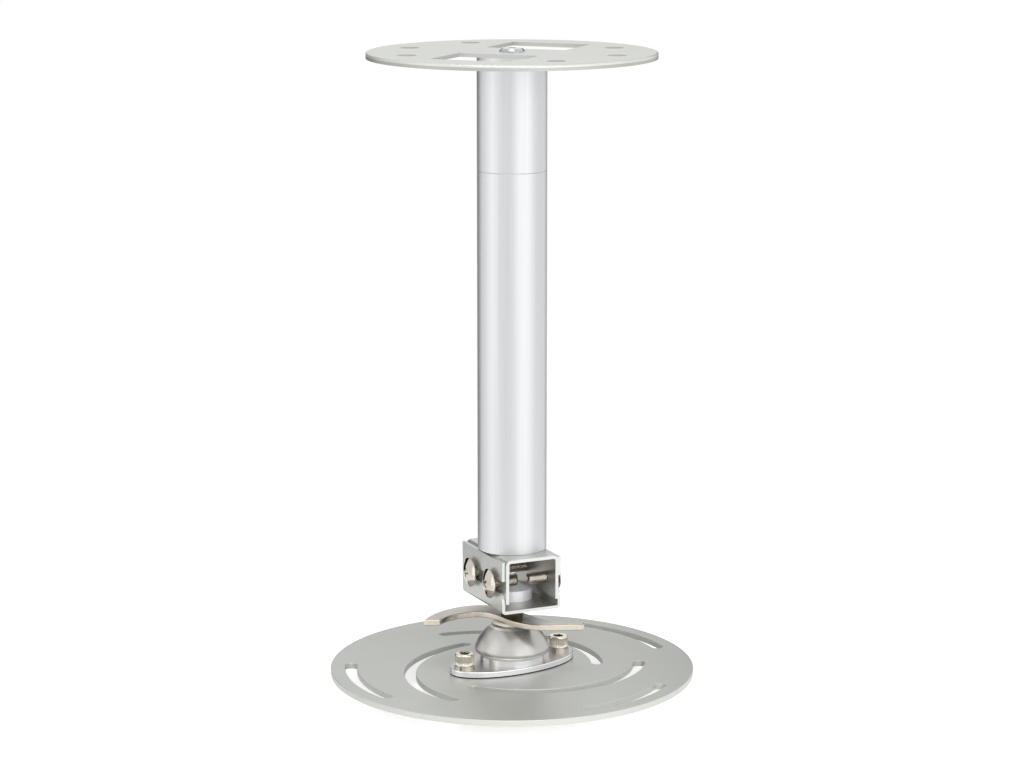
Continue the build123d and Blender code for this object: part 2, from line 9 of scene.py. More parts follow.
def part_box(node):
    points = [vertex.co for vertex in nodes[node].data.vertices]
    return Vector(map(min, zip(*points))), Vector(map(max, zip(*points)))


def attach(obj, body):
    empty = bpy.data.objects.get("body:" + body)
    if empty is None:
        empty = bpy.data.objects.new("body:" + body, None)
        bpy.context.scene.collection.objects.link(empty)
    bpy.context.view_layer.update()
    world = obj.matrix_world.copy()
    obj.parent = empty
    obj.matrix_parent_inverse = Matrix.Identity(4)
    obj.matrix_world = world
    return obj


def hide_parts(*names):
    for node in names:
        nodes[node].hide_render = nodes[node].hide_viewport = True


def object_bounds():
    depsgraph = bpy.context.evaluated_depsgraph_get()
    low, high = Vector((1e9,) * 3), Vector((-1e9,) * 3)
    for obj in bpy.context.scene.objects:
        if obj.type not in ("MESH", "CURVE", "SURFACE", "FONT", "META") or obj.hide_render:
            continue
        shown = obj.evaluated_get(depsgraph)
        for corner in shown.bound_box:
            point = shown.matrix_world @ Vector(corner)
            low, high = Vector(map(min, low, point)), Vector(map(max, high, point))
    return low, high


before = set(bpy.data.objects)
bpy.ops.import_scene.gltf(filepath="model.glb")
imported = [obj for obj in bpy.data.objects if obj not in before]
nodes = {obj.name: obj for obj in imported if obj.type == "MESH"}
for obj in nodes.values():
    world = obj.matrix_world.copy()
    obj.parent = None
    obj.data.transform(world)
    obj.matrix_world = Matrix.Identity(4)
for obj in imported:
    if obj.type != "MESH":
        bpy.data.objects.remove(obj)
cad_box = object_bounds()


# Ceiling plate
# Round pressed steel plate with a turned-down rim, powder coated in a fine silver grey. It is
# screwed to the ceiling through the countersunk holes near its rim.
MM = 0.001
CEILING_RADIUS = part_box("ceiling_plate")[1][0]
CEILING_RIM = CEILING_RADIUS - 2 * MM     # where the turned-down rim begins
CEILING_LIP = -1.9 * MM                   # where the rim's rounded upper edge has run out
SINK_SLOPE = 0.95                         # countersinks and walls face up less than this
PUNCH_SLOPE = 0.5                         # only walls face up less than this
COAT_CLOUD = 25 * MM                      # slow changes of tone over the plate
COAT_FLAKE = 1.2 * MM                     # real flakes are far finer and would not show
COAT_PEEL = 1.8 * MM                      # waves of the orange peel
COAT_PEEL_DEPTH = 0.012 * MM
FLAKE_SHARE = 0.7
FLAKE_GLINT = 0.03


def rgb(code):
    """Linear colour of an sRGB hex value."""
    parts = [int(code[i:i + 2], 16) / 255 for i in (1, 3, 5)]
    return [c / 12.92 if c <= 0.04045 else ((c + 0.055) / 1.055) ** 2.4 for c in parts] + [1.0]


def add(tree, kind, inputs=None, **settings):
    """A new node with its settings, and with values or other nodes' sockets on its inputs."""
    made = tree.nodes.new(kind)
    for name, value in settings.items():
        setattr(made, name, value)
    for name, value in (inputs or {}).items():
        if isinstance(value, bpy.types.NodeSocket):
            tree.links.new(value, made.inputs[name])
        else:
            made.inputs[name].default_value = value
    return made


def material(name):
    """A new empty material and its node tree."""
    made = bpy.data.materials.new(name)
    made.use_nodes = True
    made.node_tree.nodes.clear()
    return made, made.node_tree


def coat(tree, shader, bump=None):
    """Puts a shader, and the bump that roughens it, on the material's output."""
    if bump:
        tree.links.new(bump.outputs["Normal"], shader.inputs["Normal"])
    add(tree, "ShaderNodeOutputMaterial", {"Surface": shader.outputs["BSDF"]})


def paint(name, finish):
    """Gives a CAD node its finish."""
    for place in nodes[name].material_slots:
        place.material = finish


def satin_coat(name, colour, pale, roughness):
    """Satin skin, sprayed or plated, with fine metal flake in it and a faint orange peel."""
    made, tree = material(name)
    place = add(tree, "ShaderNodeTexCoord").outputs["Object"]
    cloud = add(tree, "ShaderNodeTexNoise", {"Vector": place, "Scale": 1 / COAT_CLOUD, "Detail": 3.0})
    flake = add(tree, "ShaderNodeTexNoise", {"Vector": place, "Scale": 1 / COAT_FLAKE, "Detail": 2.0})
    both = add(tree, "ShaderNodeMix", {0: FLAKE_SHARE, 2: cloud.outputs["Fac"], 3: flake.outputs["Fac"]})
    tint = add(tree, "ShaderNodeValToRGB", {"Fac": both.outputs[0]})
    tint.color_ramp.elements[0].position = 0.3
    tint.color_ramp.elements[0].color = rgb(colour)
    tint.color_ramp.elements[1].position = 0.7
    tint.color_ramp.elements[1].color = rgb(pale)
    rough = add(tree, "ShaderNodeMapRange", {
        "Value": flake.outputs["Fac"], "From Min": 0.3, "From Max": 0.7,
        "To Min": roughness - FLAKE_GLINT, "To Max": roughness + FLAKE_GLINT})
    peel = add(tree, "ShaderNodeTexNoise", {"Vector": place, "Scale": 1 / COAT_PEEL, "Detail": 2.0})
    bump = add(tree, "ShaderNodeBump", {
        "Height": peel.outputs["Fac"], "Distance": COAT_PEEL_DEPTH, "Strength": 0.5})
    skin = add(tree, "ShaderNodeBsdfPrincipled", {
        "Base Color": tint.outputs["Color"], "Roughness": rough.outputs["Result"], "Metallic": 0.35})
    coat(tree, skin, bump)
    return made, tree, skin


def wall(tree, slope=0.8):
    """1 on the walls and bevels of a flat piece, which face up or down less than this, 0 on its faces."""
    normal = add(tree, "ShaderNodeTexCoord").outputs["Normal"]
    facing = add(tree, "ShaderNodeSeparateXYZ", {"Vector": normal})
    upward = add(tree, "ShaderNodeMath", {0: facing.outputs["Z"]}, operation="ABSOLUTE")
    leaning = add(tree, "ShaderNodeMath", {0: upward.outputs["Value"], 1: slope}, operation="LESS_THAN")
    return leaning.outputs["Value"]


def beyond(tree, radius, soft=0.01 * MM):
    """1 farther than this from the column's axis, rising over twice the soft width."""
    place = add(tree, "ShaderNodeTexCoord").outputs["Object"]
    level = add(tree, "ShaderNodeVectorMath", {0: place, 1: (1.0, 1.0, 0.0)}, operation="MULTIPLY")
    reach = add(tree, "ShaderNodeVectorMath", {0: level.outputs["Vector"]}, operation="LENGTH")
    outside = add(tree, "ShaderNodeMapRange", {
        "Value": reach.outputs["Value"], "From Min": radius - soft, "From Max": radius + soft})
    return outside.outputs["Result"]


def under(tree, height):
    """1 below this height."""
    place = add(tree, "ShaderNodeTexCoord").outputs["Object"]
    split = add(tree, "ShaderNodeSeparateXYZ", {"Vector": place})
    below = add(tree, "ShaderNodeMath", {0: split.outputs["Z"], 1: height}, operation="LESS_THAN")
    return below.outputs["Value"]


def trim(tree, skin, mask, colour):
    """Gives a finish another colour where the mask is 1."""
    plain = skin.inputs["Base Color"].links[0].from_socket
    mixed = add(tree, "ShaderNodeMix", {0: mask, 6: plain, 7: rgb(colour)},
                data_type="RGBA", clamp_factor=True)
    tree.links.new(mixed.outputs[2], skin.inputs["Base Color"])


# Sprayed and baked powder: a soft even grey with a faint glint. The holes, countersinks and cut-outs
# and the lower part of the rim are painted darker, as painted shade.
ceiling_coat, tree, skin = satin_coat("silver_powder_coat", "#C6C8C2", "#D4D6D0", 0.38)
rim = beyond(tree, CEILING_RIM)
painted_shade_in_sinks = add(tree, "ShaderNodeMath", {0: wall(tree, SINK_SLOPE), 1: rim}, operation="SUBTRACT")
trim(tree, skin, painted_shade_in_sinks.outputs["Value"], "#A8A9A3")
painted_shade_on_walls = add(tree, "ShaderNodeMath", {0: wall(tree, PUNCH_SLOPE), 1: rim}, operation="SUBTRACT")
trim(tree, skin, painted_shade_on_walls.outputs["Value"], "#B9BAB4")
# Painted shade: the rim below its rounded upper edge is darker.
lip = add(tree, "ShaderNodeMath", {0: rim, 1: under(tree, CEILING_LIP)}, operation="MULTIPLY")
trim(tree, skin, lip.outputs["Value"], "#AAACA6")
paint("ceiling_plate", ceiling_coat)


# Ceiling bolt
# Low bolt with a bevelled head, steel with bright nickel plate, screwed down into the column.
PLATING_CLOUD = 6 * MM
WIPE_MARK = 3 * MM          # real marks are finer and would not show
WIPE_DEPTH = 0.004 * MM
WIPE_SHINE = 0.04
WIPE_HAZE = 0.05


def plated(name, colour, dull, roughness):
    """Bright plate on steel: mirror-like, with a faint warm cloud and wiping marks."""
    made, tree = material(name)
    place = add(tree, "ShaderNodeTexCoord").outputs["Object"]
    cloud = add(tree, "ShaderNodeTexNoise", {"Vector": place, "Scale": 1 / PLATING_CLOUD, "Detail": 4.0})
    tint = add(tree, "ShaderNodeValToRGB", {"Fac": cloud.outputs["Fac"]})
    tint.color_ramp.elements[0].position = 0.35
    tint.color_ramp.elements[0].color = rgb(dull)
    tint.color_ramp.elements[1].position = 0.65
    tint.color_ramp.elements[1].color = rgb(colour)
    wiped = add(tree, "ShaderNodeTexNoise", {"Vector": place, "Scale": 1 / WIPE_MARK, "Detail": 3.0})
    rough = add(tree, "ShaderNodeMapRange", {
        "Value": wiped.outputs["Fac"], "From Min": 0.3, "From Max": 0.7,
        "To Min": roughness - WIPE_SHINE, "To Max": roughness + WIPE_HAZE})
    bump = add(tree, "ShaderNodeBump", {
        "Height": wiped.outputs["Fac"], "Distance": WIPE_DEPTH, "Strength": 0.2})
    skin = add(tree, "ShaderNodeBsdfPrincipled", {
        "Base Color": tint.outputs["Color"], "Roughness": rough.outputs["Result"], "Metallic": 1.0})
    coat(tree, skin, bump)
    return made, tree, skin


# Bright nickel over a turned head: a cool mirror that shows the white room.
bolt_nickel = plated("bright_nickel_plate_on_bolt", "#C6CAD0", "#B4B8BE", 0.1)[0]
paint("ceiling_bolt", bolt_nickel)

# Column
# Two lengths of drawn aluminium tube, satin anodised, that meet at a fine seam over a sleeve.
# Turned plugs inside the ends take the bolts.
DRAWN_LINE = 0.7 * MM       # real lines are finer and would not show
DRAWN_LINE_DEPTH = 0.004 * MM
DRAWN_STRETCH = 0.004       # a line's width as a share of its length

# Drawn, etched and anodised metal: a silky sheen with soft upright bands of light.
satin_tube, tree = material("satin_anodised_aluminium")
place = add(tree, "ShaderNodeTexCoord").outputs["Object"]
drawn = add(tree, "ShaderNodeMapping", {"Vector": place, "Scale": (1.0, 1.0, DRAWN_STRETCH)})
lines = add(tree, "ShaderNodeTexNoise", {
    "Vector": drawn.outputs["Vector"], "Scale": 1 / DRAWN_LINE, "Detail": 2.0})
tint = add(tree, "ShaderNodeValToRGB", {"Fac": lines.outputs["Fac"]})
tint.color_ramp.elements[0].position = 0.3
tint.color_ramp.elements[0].color = rgb("#CFD0D2")
tint.color_ramp.elements[1].position = 0.7
tint.color_ramp.elements[1].color = rgb("#D6D7D9")
bump = add(tree, "ShaderNodeBump", {
    "Height": lines.outputs["Fac"], "Distance": DRAWN_LINE_DEPTH, "Strength": 0.4})
skin = add(tree, "ShaderNodeBsdfPrincipled", {
    "Base Color": tint.outputs["Color"], "Roughness": 0.42, "Metallic": 1.0})
coat(tree, skin, bump)
for name in ("upper_tube", "lower_tube", "upper_plug", "lower_plug", "tube_coupler"):
    paint(name, satin_tube)

# Brackets
# Two channels folded from steel sheet and satin nickel plated, with painted shade inside the channels.
# The upper one is bolted under the column, and the lower one hooks over its screws.
CHANNEL_MIDDLE = (0.0, 0.0, -358.0 * MM)

# Satin nickel on rolled sheet: a soft metal grey outside, and a warmer, duller painted shade within.
bracket_plate, tree, skin = satin_coat("satin_nickel_plate_on_sheet", "#CACCC8", "#D3D5D1", 0.36)
skin.inputs["Metallic"].default_value = 0.85
found = add(tree, "ShaderNodeTexCoord").outputs
away = add(tree, "ShaderNodeVectorMath", {0: found["Object"], 1: CHANNEL_MIDDLE}, operation="SUBTRACT")
outward = add(tree, "ShaderNodeVectorMath", {
    0: away.outputs["Vector"], 1: found["Normal"]}, operation="DOT_PRODUCT")
# Faces turned towards the channel's middle are painted darker: painted shade.
painted_shade_inside = add(tree, "ShaderNodeMath", {0: outward.outputs["Value"], 1: 0.0}, operation="LESS_THAN")
trim(tree, skin, painted_shade_inside.outputs["Value"], "#BCB9B2")
for name in ("upper_bracket", "lower_bracket"):
    paint(name, bracket_plate)

# Bracket screws
# Four domed machine screws with a cross recess, nickel plated steel, driven from both sides into
# the upper bracket. The lower bracket hooks under their heads.
SCREW_ROOM = 24.25 * MM             # channel's middle to the underside of a head
SCREW_PITCH = 32.0 * MM
SCREW_LEVEL = -357.6 * MM
SCREW_LENGTH = 19.75 * MM
SCREW_RADIUS = 4.0 * MM
SCREW_TIP_TAPER = 0.2 * MM
SCREW_TIP_BEVEL = 0.6 * MM
SCREW_HEAD_RADIUS = 10.0 * MM
SCREW_HEAD_EDGE = 0.25 * MM         # broken edge under the head
SCREW_HEAD_SIDE = 0.6 * MM
SCREW_HEAD_LIP = 0.8 * MM
SCREW_DOME = 3.8 * MM
DOME_STEPS = 12
THREAD_PITCH = 1.25 * MM
THREAD_DEPTH = 0.55 * MM
THREAD_RINGS = 112
RECESS_REACH = 4.3 * MM             # from the middle to a wing's end, at the cutter's top
RECESS_FLOOR_REACH = 1.7 * MM
RECESS_HALF = 0.85 * MM             # half a wing's width, at the cutter's top
RECESS_FLOOR_HALF = 0.6 * RECESS_HALF
RECESS_DEPTH = 2.6 * MM
RECESS_OVER = 0.5 * MM
ROUND_STEPS = 48
CRISP_EDGE = radians(32)
BRACKET_TURN = radians(47.25)


def lathe(name, rings, steps, radius=None):
    """Closed turned mesh from rings of radius and height, the first and last of them on the axis."""
    shape = bmesh.new()
    loops = []
    for across, height in rings[1:-1]:
        loop = []
        for step in range(steps):
            angle = 2 * pi * step / steps
            reach = radius(across, height, angle) if radius else across
            loop.append(shape.verts.new((reach * cos(angle), reach * sin(angle), height)))
        loops.append(loop)
    ends = [shape.verts.new((0, 0, rings[i][1])) for i in (0, -1)]
    for step in range(steps):
        after = (step + 1) % steps
        shape.faces.new((ends[0], loops[0][after], loops[0][step]))
        shape.faces.new((ends[1], loops[-1][step], loops[-1][after]))
        for low, high in zip(loops, loops[1:]):
            shape.faces.new((low[step], low[after], high[after], high[step]))
    mesh = bpy.data.meshes.new(name)
    shape.to_mesh(mesh)
    shape.free()
    return mesh


def prism(name, low, high):
    """Closed mesh between two outlines with the same number of corners."""
    shape = bmesh.new()
    loops = [[shape.verts.new(corner) for corner in outline] for outline in (low, high)]
    count = len(low)
    shape.faces.new(loops[0][::-1])
    shape.faces.new(loops[1])
    for i in range(count):
        after = (i + 1) % count
        shape.faces.new((loops[0][i], loops[0][after], loops[1][after], loops[1][i]))
    mesh = bpy.data.meshes.new(name)
    shape.to_mesh(mesh)
    shape.free()
    return mesh


def evaluated(piece):
    """Plain mesh of a piece with its modifiers, which are then removed."""
    mesh = bpy.data.meshes.new_from_object(piece.evaluated_get(bpy.context.evaluated_depsgraph_get()))
    piece.modifiers.clear()
    return mesh


def cut(piece, cutters):
    """Sinks closed meshes into a piece."""
    for mesh in cutters:
        tool = bpy.data.objects.new(mesh.name, mesh)
        bpy.context.scene.collection.objects.link(tool)
        sink = piece.modifiers.new("recess", "BOOLEAN")
        sink.solver = "EXACT"
        sink.object = tool
        piece.data = evaluated(piece)
        bpy.data.objects.remove(tool)


def layout_tree(name, sizes):
    """Empty node tree for a layout, with a socket for each named size."""
    tree = bpy.data.node_groups.new(name, "GeometryNodeTree")
    tree.interface.new_socket("Geometry", in_out="INPUT", socket_type="NodeSocketGeometry")
    for size in sizes:
        tree.interface.new_socket(size, in_out="INPUT", socket_type="NodeSocketFloat")
    tree.interface.new_socket("Geometry", in_out="OUTPUT", socket_type="NodeSocketGeometry")
    return tree


def lay_out(piece, tree, sizes):
    """Repeats a piece by a node tree with the given sizes, as one plain mesh with crisp edges."""
    layout = piece.modifiers.new("layout", "NODES")
    layout.node_group = tree
    for socket in tree.interface.items_tree:
        if socket.name in sizes:
            layout[socket.identifier] = sizes[socket.name]
    piece.data = evaluated(piece)
    piece.data.shade_smooth()
    piece.data.set_sharp_from_angle(angle=CRISP_EDGE)


def thread(across, height, angle):
    """Radius of the shank with its thread."""
    if height > -THREAD_PITCH or across < SCREW_RADIUS:
        return across
    turn = (height / THREAD_PITCH - angle / (2 * pi)) % 1
    return across - THREAD_DEPTH * abs(2 * turn - 1)


rings = [(0, -SCREW_LENGTH), (SCREW_RADIUS - THREAD_DEPTH - SCREW_TIP_TAPER, -SCREW_LENGTH)]
for i in range(THREAD_RINGS + 1):
    rings.append((SCREW_RADIUS, (SCREW_TIP_BEVEL - SCREW_LENGTH) * (1 - i / THREAD_RINGS)))
rings.append((SCREW_HEAD_RADIUS - SCREW_HEAD_EDGE, 0))
rings.append((SCREW_HEAD_RADIUS, SCREW_HEAD_EDGE))
rings.append((SCREW_HEAD_RADIUS, SCREW_HEAD_SIDE))
for i in range(DOME_STEPS + 1):
    out = cos(i / DOME_STEPS * pi / 2)
    rise = (SCREW_DOME - SCREW_HEAD_LIP) * (1 - out ** 2)
    rings.append((SCREW_HEAD_RADIUS * out, SCREW_HEAD_LIP + rise))
rings[-1] = (0, SCREW_DOME)
screws = bpy.data.objects.new("threaded_bracket_screws", lathe("bracket_screw", rings, ROUND_STEPS, thread))
bpy.context.scene.collection.objects.link(screws)

recess_floor = (SCREW_DOME - RECESS_DEPTH, RECESS_FLOOR_REACH, RECESS_FLOOR_HALF)
recess_top = (SCREW_DOME + RECESS_OVER, RECESS_REACH, RECESS_HALF)
wings = []
for crossed in (False, True):
    outlines = []
    for level, reach, thick in (recess_floor, recess_top):
        corners = ((-reach, -thick), (reach, -thick), (reach, thick), (-reach, thick))
        if crossed:
            corners = [(-y, x) for x, y in corners]
        outlines.append([(x, y, level) for x, y in corners])
    wings.append(prism("cross_recess", *outlines))
cut(screws, wings)

# Bright nickel on a pressed head: a warm mirror with hard light and dark.
nickel = plated("bright_nickel_plate", "#D0CAC1", "#C2BCB2", 0.07)[0]
tree = layout_tree("bracket_screw_layout", ("Room", "Pitch", "Level", "Turn"))
given = add(tree, "NodeGroupInput").outputs
across = add(tree, "ShaderNodeMath", {0: given["Room"], 1: 2.0}, operation="MULTIPLY")
points = add(tree, "GeometryNodeMeshGrid", {
    "Size X": across.outputs["Value"], "Size Y": given["Pitch"], "Vertices X": 2, "Vertices Y": 2})
position = add(tree, "GeometryNodeInputPosition").outputs["Position"]
sides = add(tree, "ShaderNodeSeparateXYZ", {"Vector": position})
side = add(tree, "ShaderNodeMath", {0: sides.outputs["X"]}, operation="SIGN")
lean = add(tree, "ShaderNodeMath", {0: side.outputs["Value"], 1: pi / 2}, operation="MULTIPLY")
facing = add(tree, "ShaderNodeCombineXYZ", {"Y": lean.outputs["Value"]})
placed = add(tree, "GeometryNodeInstanceOnPoints", {
    "Points": points.outputs["Mesh"], "Instance": given["Geometry"], "Rotation": facing.outputs["Vector"]})
driven = add(tree, "FunctionNodeRandomValue", {"Min": 0.0, "Max": pi / 2, "Seed": 5}, data_type="FLOAT")
spin = add(tree, "ShaderNodeCombineXYZ", {"Z": driven.outputs["Value"]})
turned = add(tree, "GeometryNodeRotateInstances", {
    "Instances": placed.outputs["Instances"], "Rotation": spin.outputs["Vector"], "Local Space": True})
level = add(tree, "ShaderNodeCombineXYZ", {"Z": given["Level"]})
swing = add(tree, "ShaderNodeCombineXYZ", {"Z": given["Turn"]})
moved = add(tree, "GeometryNodeTransform", {
    "Geometry": turned.outputs["Instances"], "Translation": level.outputs["Vector"],
    "Rotation": swing.outputs["Vector"]})
real = add(tree, "GeometryNodeRealizeInstances", {"Geometry": moved.outputs["Geometry"]})
plate_on = add(tree, "GeometryNodeSetMaterial", {"Geometry": real.outputs["Geometry"], "Material": nickel})
add(tree, "NodeGroupOutput", {"Geometry": plate_on.outputs["Geometry"]})
lay_out(screws, tree, {
    "Room": SCREW_ROOM, "Pitch": SCREW_PITCH, "Level": SCREW_LEVEL, "Turn": BRACKET_TURN})
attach(screws, "column")
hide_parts("bracket_screws")

# Column bolt and washer
# Hexagon bolt and plain washer, zinc plated steel, that hold the upper bracket under the column.
# Bright zinc gives a pale, faintly warm shine, softer than nickel.
zinc = plated("bright_zinc_plate", "#E8E2D6", "#DAD3C6", 0.2)[0]
for name in ("column_washer", "column_bolt"):
    paint(name, zinc)

# Ball stud and nut
# Stud turned from steel with its ball and shoulder, held in the lower bracket by a round steel nut
# with a conical top, dull zinc plated.
paint("ball_stud", zinc)

# Dull zinc: a pale, almost matt grey without clear reflections.
dull_zinc, tree, skin = plated("dull_zinc_plate", "#E9ECF1", "#DEE1E6", 0.45)
skin.inputs["Metallic"].default_value = 0.5
paint("stud_nut", dull_zinc)

# Lock lever
# S-shaped lever cut from steel plate and nickel plated, its faces painted darker and its ground edge
# paler as painted shade and highlight. Its nut is welded on top.
NUT_SHADE_REACH = 26 * MM        # middle of the painted shade's soft border, from the stud
NUT_SHADE_FADE = 10 * MM

# Nickel on rolled steel: a grey shine, the faces painted darker and the ground edge paler and warmer
# as painted shade and highlight, and dark brown painted shade around the nut.
lever_plate, tree, skin = plated("nickel_plate_on_rolled_steel", "#B4AFA7", "#A9A49B", 0.16)
# Painted shade: dark brown around the nut, under the bracket, fading outwards.
clear_of_nut_shade = beyond(tree, NUT_SHADE_REACH, NUT_SHADE_FADE)
painted_nut_shade = add(tree, "ShaderNodeMath", {0: 1.0, 1: clear_of_nut_shade}, operation="SUBTRACT")
trim(tree, skin, painted_nut_shade.outputs["Value"], "#443A2E")
# Painted highlight: the upright edges are paler and warmer.
trim(tree, skin, wall(tree), "#CFC5B7")
paint("lock_lever", lever_plate)

# Nickel plate painted dark brown with a dim shine, as painted shade on the nut under the bracket.
nut_shade_dark = plated("nickel_plate_painted_dark_as_shade", "#7C6F5C", "#695D4C", 0.25)[0]
paint("lever_nut", nut_shade_dark)

# Collar and ball seats
# Moulded nylon, off-white: the collar clamps the socket's lip and the seats hold the ball.
NYLON_CLOUD = 4 * MM

# Moulded nylon: a milky surface with a broad, weak sheen.
nylon, tree = material("moulded_nylon")
place = add(tree, "ShaderNodeTexCoord").outputs["Object"]
cloud = add(tree, "ShaderNodeTexNoise", {"Vector": place, "Scale": 1 / NYLON_CLOUD, "Detail": 3.0})
tint = add(tree, "ShaderNodeValToRGB", {"Fac": cloud.outputs["Fac"]})
tint.color_ramp.elements[0].color = rgb("#DAD7CC")
tint.color_ramp.elements[1].color = rgb("#E6E4DA")
skin = add(tree, "ShaderNodeBsdfPrincipled", {
    "Base Color": tint.outputs["Color"], "Roughness": 0.45, "IOR": 1.53})
coat(tree, skin)
for name in ("lock_collar", "upper_ball_seat", "lower_ball_seat"):
    paint(name, nylon)

# Socket housing
# Cast dome with an oval flange, satin plated, with a painted highlight on its turned base and mouth.
# It is screwed to the projector plate; a thin dark band along its foot is painted contact shadow.
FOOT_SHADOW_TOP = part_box("socket_housing")[0][2] + 0.8 * MM
BASE_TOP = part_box("socket_housing")[0][2] + 11.5 * MM
MOUTH_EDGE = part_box("socket_housing")[1][2] - 1.3 * MM
CAST_CLOUD = 8 * MM
CAST_GRAIN = 1.2 * MM       # coarser than the real grain, which would not show
CAST_GRAIN_DEPTH = 0.01 * MM
CAST_ROUGHNESS = 0.32
TURNED_ROUGHNESS = 0.12

# Plated casting: a soft grey metal shine, smoother where it was turned, with painted highlights on the
# turned base and the mouth and a painted contact shadow along the foot.
cast, tree = material("satin_plated_casting")
place = add(tree, "ShaderNodeTexCoord").outputs["Object"]
cloud = add(tree, "ShaderNodeTexNoise", {"Vector": place, "Scale": 1 / CAST_CLOUD, "Detail": 4.0})
tint = add(tree, "ShaderNodeValToRGB", {"Fac": cloud.outputs["Fac"]})
tint.color_ramp.elements[0].position = 0.3
tint.color_ramp.elements[0].color = rgb("#BAB8B4")
tint.color_ramp.elements[1].position = 0.7
tint.color_ramp.elements[1].color = rgb("#C4C2BE")
grain = add(tree, "ShaderNodeTexNoise", {"Vector": place, "Scale": 1 / CAST_GRAIN, "Detail": 3.0})
bump = add(tree, "ShaderNodeBump", {
    "Height": grain.outputs["Fac"], "Distance": CAST_GRAIN_DEPTH, "Strength": 0.4})
base = add(tree, "ShaderNodeMath", {0: wall(tree), 1: under(tree, BASE_TOP)}, operation="MULTIPLY")
rough = add(tree, "ShaderNodeMapRange", {
    "Value": base.outputs["Value"], "To Min": CAST_ROUGHNESS, "To Max": TURNED_ROUGHNESS})
skin = add(tree, "ShaderNodeBsdfPrincipled", {
    "Base Color": tint.outputs["Color"], "Roughness": rough.outputs["Result"], "Metallic": 0.8})
coat(tree, skin, bump)
# Painted highlight: a pale ring along the edge of the dome's mouth.
painted_mouth_highlight = add(tree, "ShaderNodeMath", {0: 1.0, 1: under(tree, MOUTH_EDGE)}, operation="SUBTRACT")
trim(tree, skin, painted_mouth_highlight.outputs["Value"], "#EEECE8")
# Painted highlight: the turned base is painted paler as well as being smoother.
trim(tree, skin, base.outputs["Value"], "#F8F8FA")
# Painted contact shadow: a thin dark band along the flange's foot.
trim(tree, skin, under(tree, FOOT_SHADOW_TOP), "#2E2E2C")
paint("socket_housing", cast)

# Flange screws and washers
# Socket-head cap screws with knurled heads, zinc plated, on split washers at the two ends of the
# flange. They are threaded into the projector plate.
CAP_PITCH = 78.0 * MM
CAP_LEVEL = -415.8823 * MM
CAP_RADIUS = 6.5 * MM
CAP_HEIGHT = 8.0 * MM
CAP_SEAT = 6.1 * MM                 # radius of the head's underside
CAP_SIDE = (0.4, 0.75, 0.9, 2.9, 4.9, 6.9, 7.1)     # heights of its rings in millimetres
CAP_TOP_EDGE = (6.35 * MM, 7.6 * MM)
CAP_TOP_FACE = 5.9 * MM
SHANK_RADIUS = 4.0 * MM
SHANK_LENGTH = 9.9 * MM
SHANK_BEVEL = 0.4 * MM
KNURLS = 36
KNURL_DEPTH = 0.3 * MM
KNURL_LOW = 0.8 * MM
KNURL_HIGH = 7.0 * MM
CAP_SOCKET = 6.0 * MM               # across flats
SOCKET_FLOOR = 3.5 * MM
SOCKET_OVER = 8.5 * MM
MOUTH_LOW = (2.9 * MM, 7.7 * MM)
MOUTH_HIGH = (3.9 * MM, 8.3 * MM)
HEAD_TURN = radians(56.5)


def knurl(across, height, angle):
    """Radius of the cap's side with its knurling."""
    if across < CAP_RADIUS or not KNURL_LOW < height < KNURL_HIGH:
        return across
    return across - KNURL_DEPTH * abs(2 * ((angle / (2 * pi) * KNURLS) % 1) - 1)


rings = [(0, -SHANK_LENGTH), (SHANK_RADIUS - SHANK_BEVEL, -SHANK_LENGTH)]
rings.append((SHANK_RADIUS, SHANK_BEVEL - SHANK_LENGTH))
rings.append((SHANK_RADIUS, 0))
rings.append((CAP_SEAT, 0))
for height in CAP_SIDE:
    rings.append((CAP_RADIUS, height * MM))
rings += [CAP_TOP_EDGE, (CAP_TOP_FACE, CAP_HEIGHT), (0, CAP_HEIGHT)]
caps = bpy.data.objects.new("knurled_cap_screws", lathe("cap_screw", rings, 4 * KNURLS, knurl))
bpy.context.scene.collection.objects.link(caps)

corner = CAP_SOCKET / 3 ** 0.5
flats = []
for level in (SOCKET_FLOOR, SOCKET_OVER):
    flats.append([(corner * cos(i * pi / 3), corner * sin(i * pi / 3), level) for i in range(6)])
funnel = [(0, MOUTH_LOW[1]), MOUTH_LOW, MOUTH_HIGH, (0, MOUTH_HIGH[1])]
cut(caps, [prism("hexagon_socket", *flats), lathe("socket_mouth", funnel, ROUND_STEPS)])

tree = layout_tree("flange_screw_layout", ("Pitch", "Level", "Turn"))
given = add(tree, "NodeGroupInput").outputs
half_way = add(tree, "ShaderNodeMath", {0: given["Pitch"], 1: -0.5}, operation="MULTIPLY")
first = add(tree, "ShaderNodeCombineXYZ", {"X": half_way.outputs["Value"], "Z": given["Level"]})
apart = add(tree, "ShaderNodeCombineXYZ", {"X": given["Pitch"]})
points = add(tree, "GeometryNodeMeshLine", {
    "Count": 2, "Start Location": first.outputs["Vector"], "Offset": apart.outputs["Vector"]})
driven = add(tree, "FunctionNodeRandomValue", {"Min": 0.0, "Max": pi / 3, "Seed": 3}, data_type="FLOAT")
spin = add(tree, "ShaderNodeCombineXYZ", {"Z": driven.outputs["Value"]})
placed = add(tree, "GeometryNodeInstanceOnPoints", {
    "Points": points.outputs["Mesh"], "Instance": given["Geometry"], "Rotation": spin.outputs["Vector"]})
swing = add(tree, "ShaderNodeCombineXYZ", {"Z": given["Turn"]})
moved = add(tree, "GeometryNodeTransform", {
    "Geometry": placed.outputs["Instances"], "Rotation": swing.outputs["Vector"]})
real = add(tree, "GeometryNodeRealizeInstances", {"Geometry": moved.outputs["Geometry"]})
plate_on = add(tree, "GeometryNodeSetMaterial", {"Geometry": real.outputs["Geometry"], "Material": zinc})
add(tree, "NodeGroupOutput", {"Geometry": plate_on.outputs["Geometry"]})
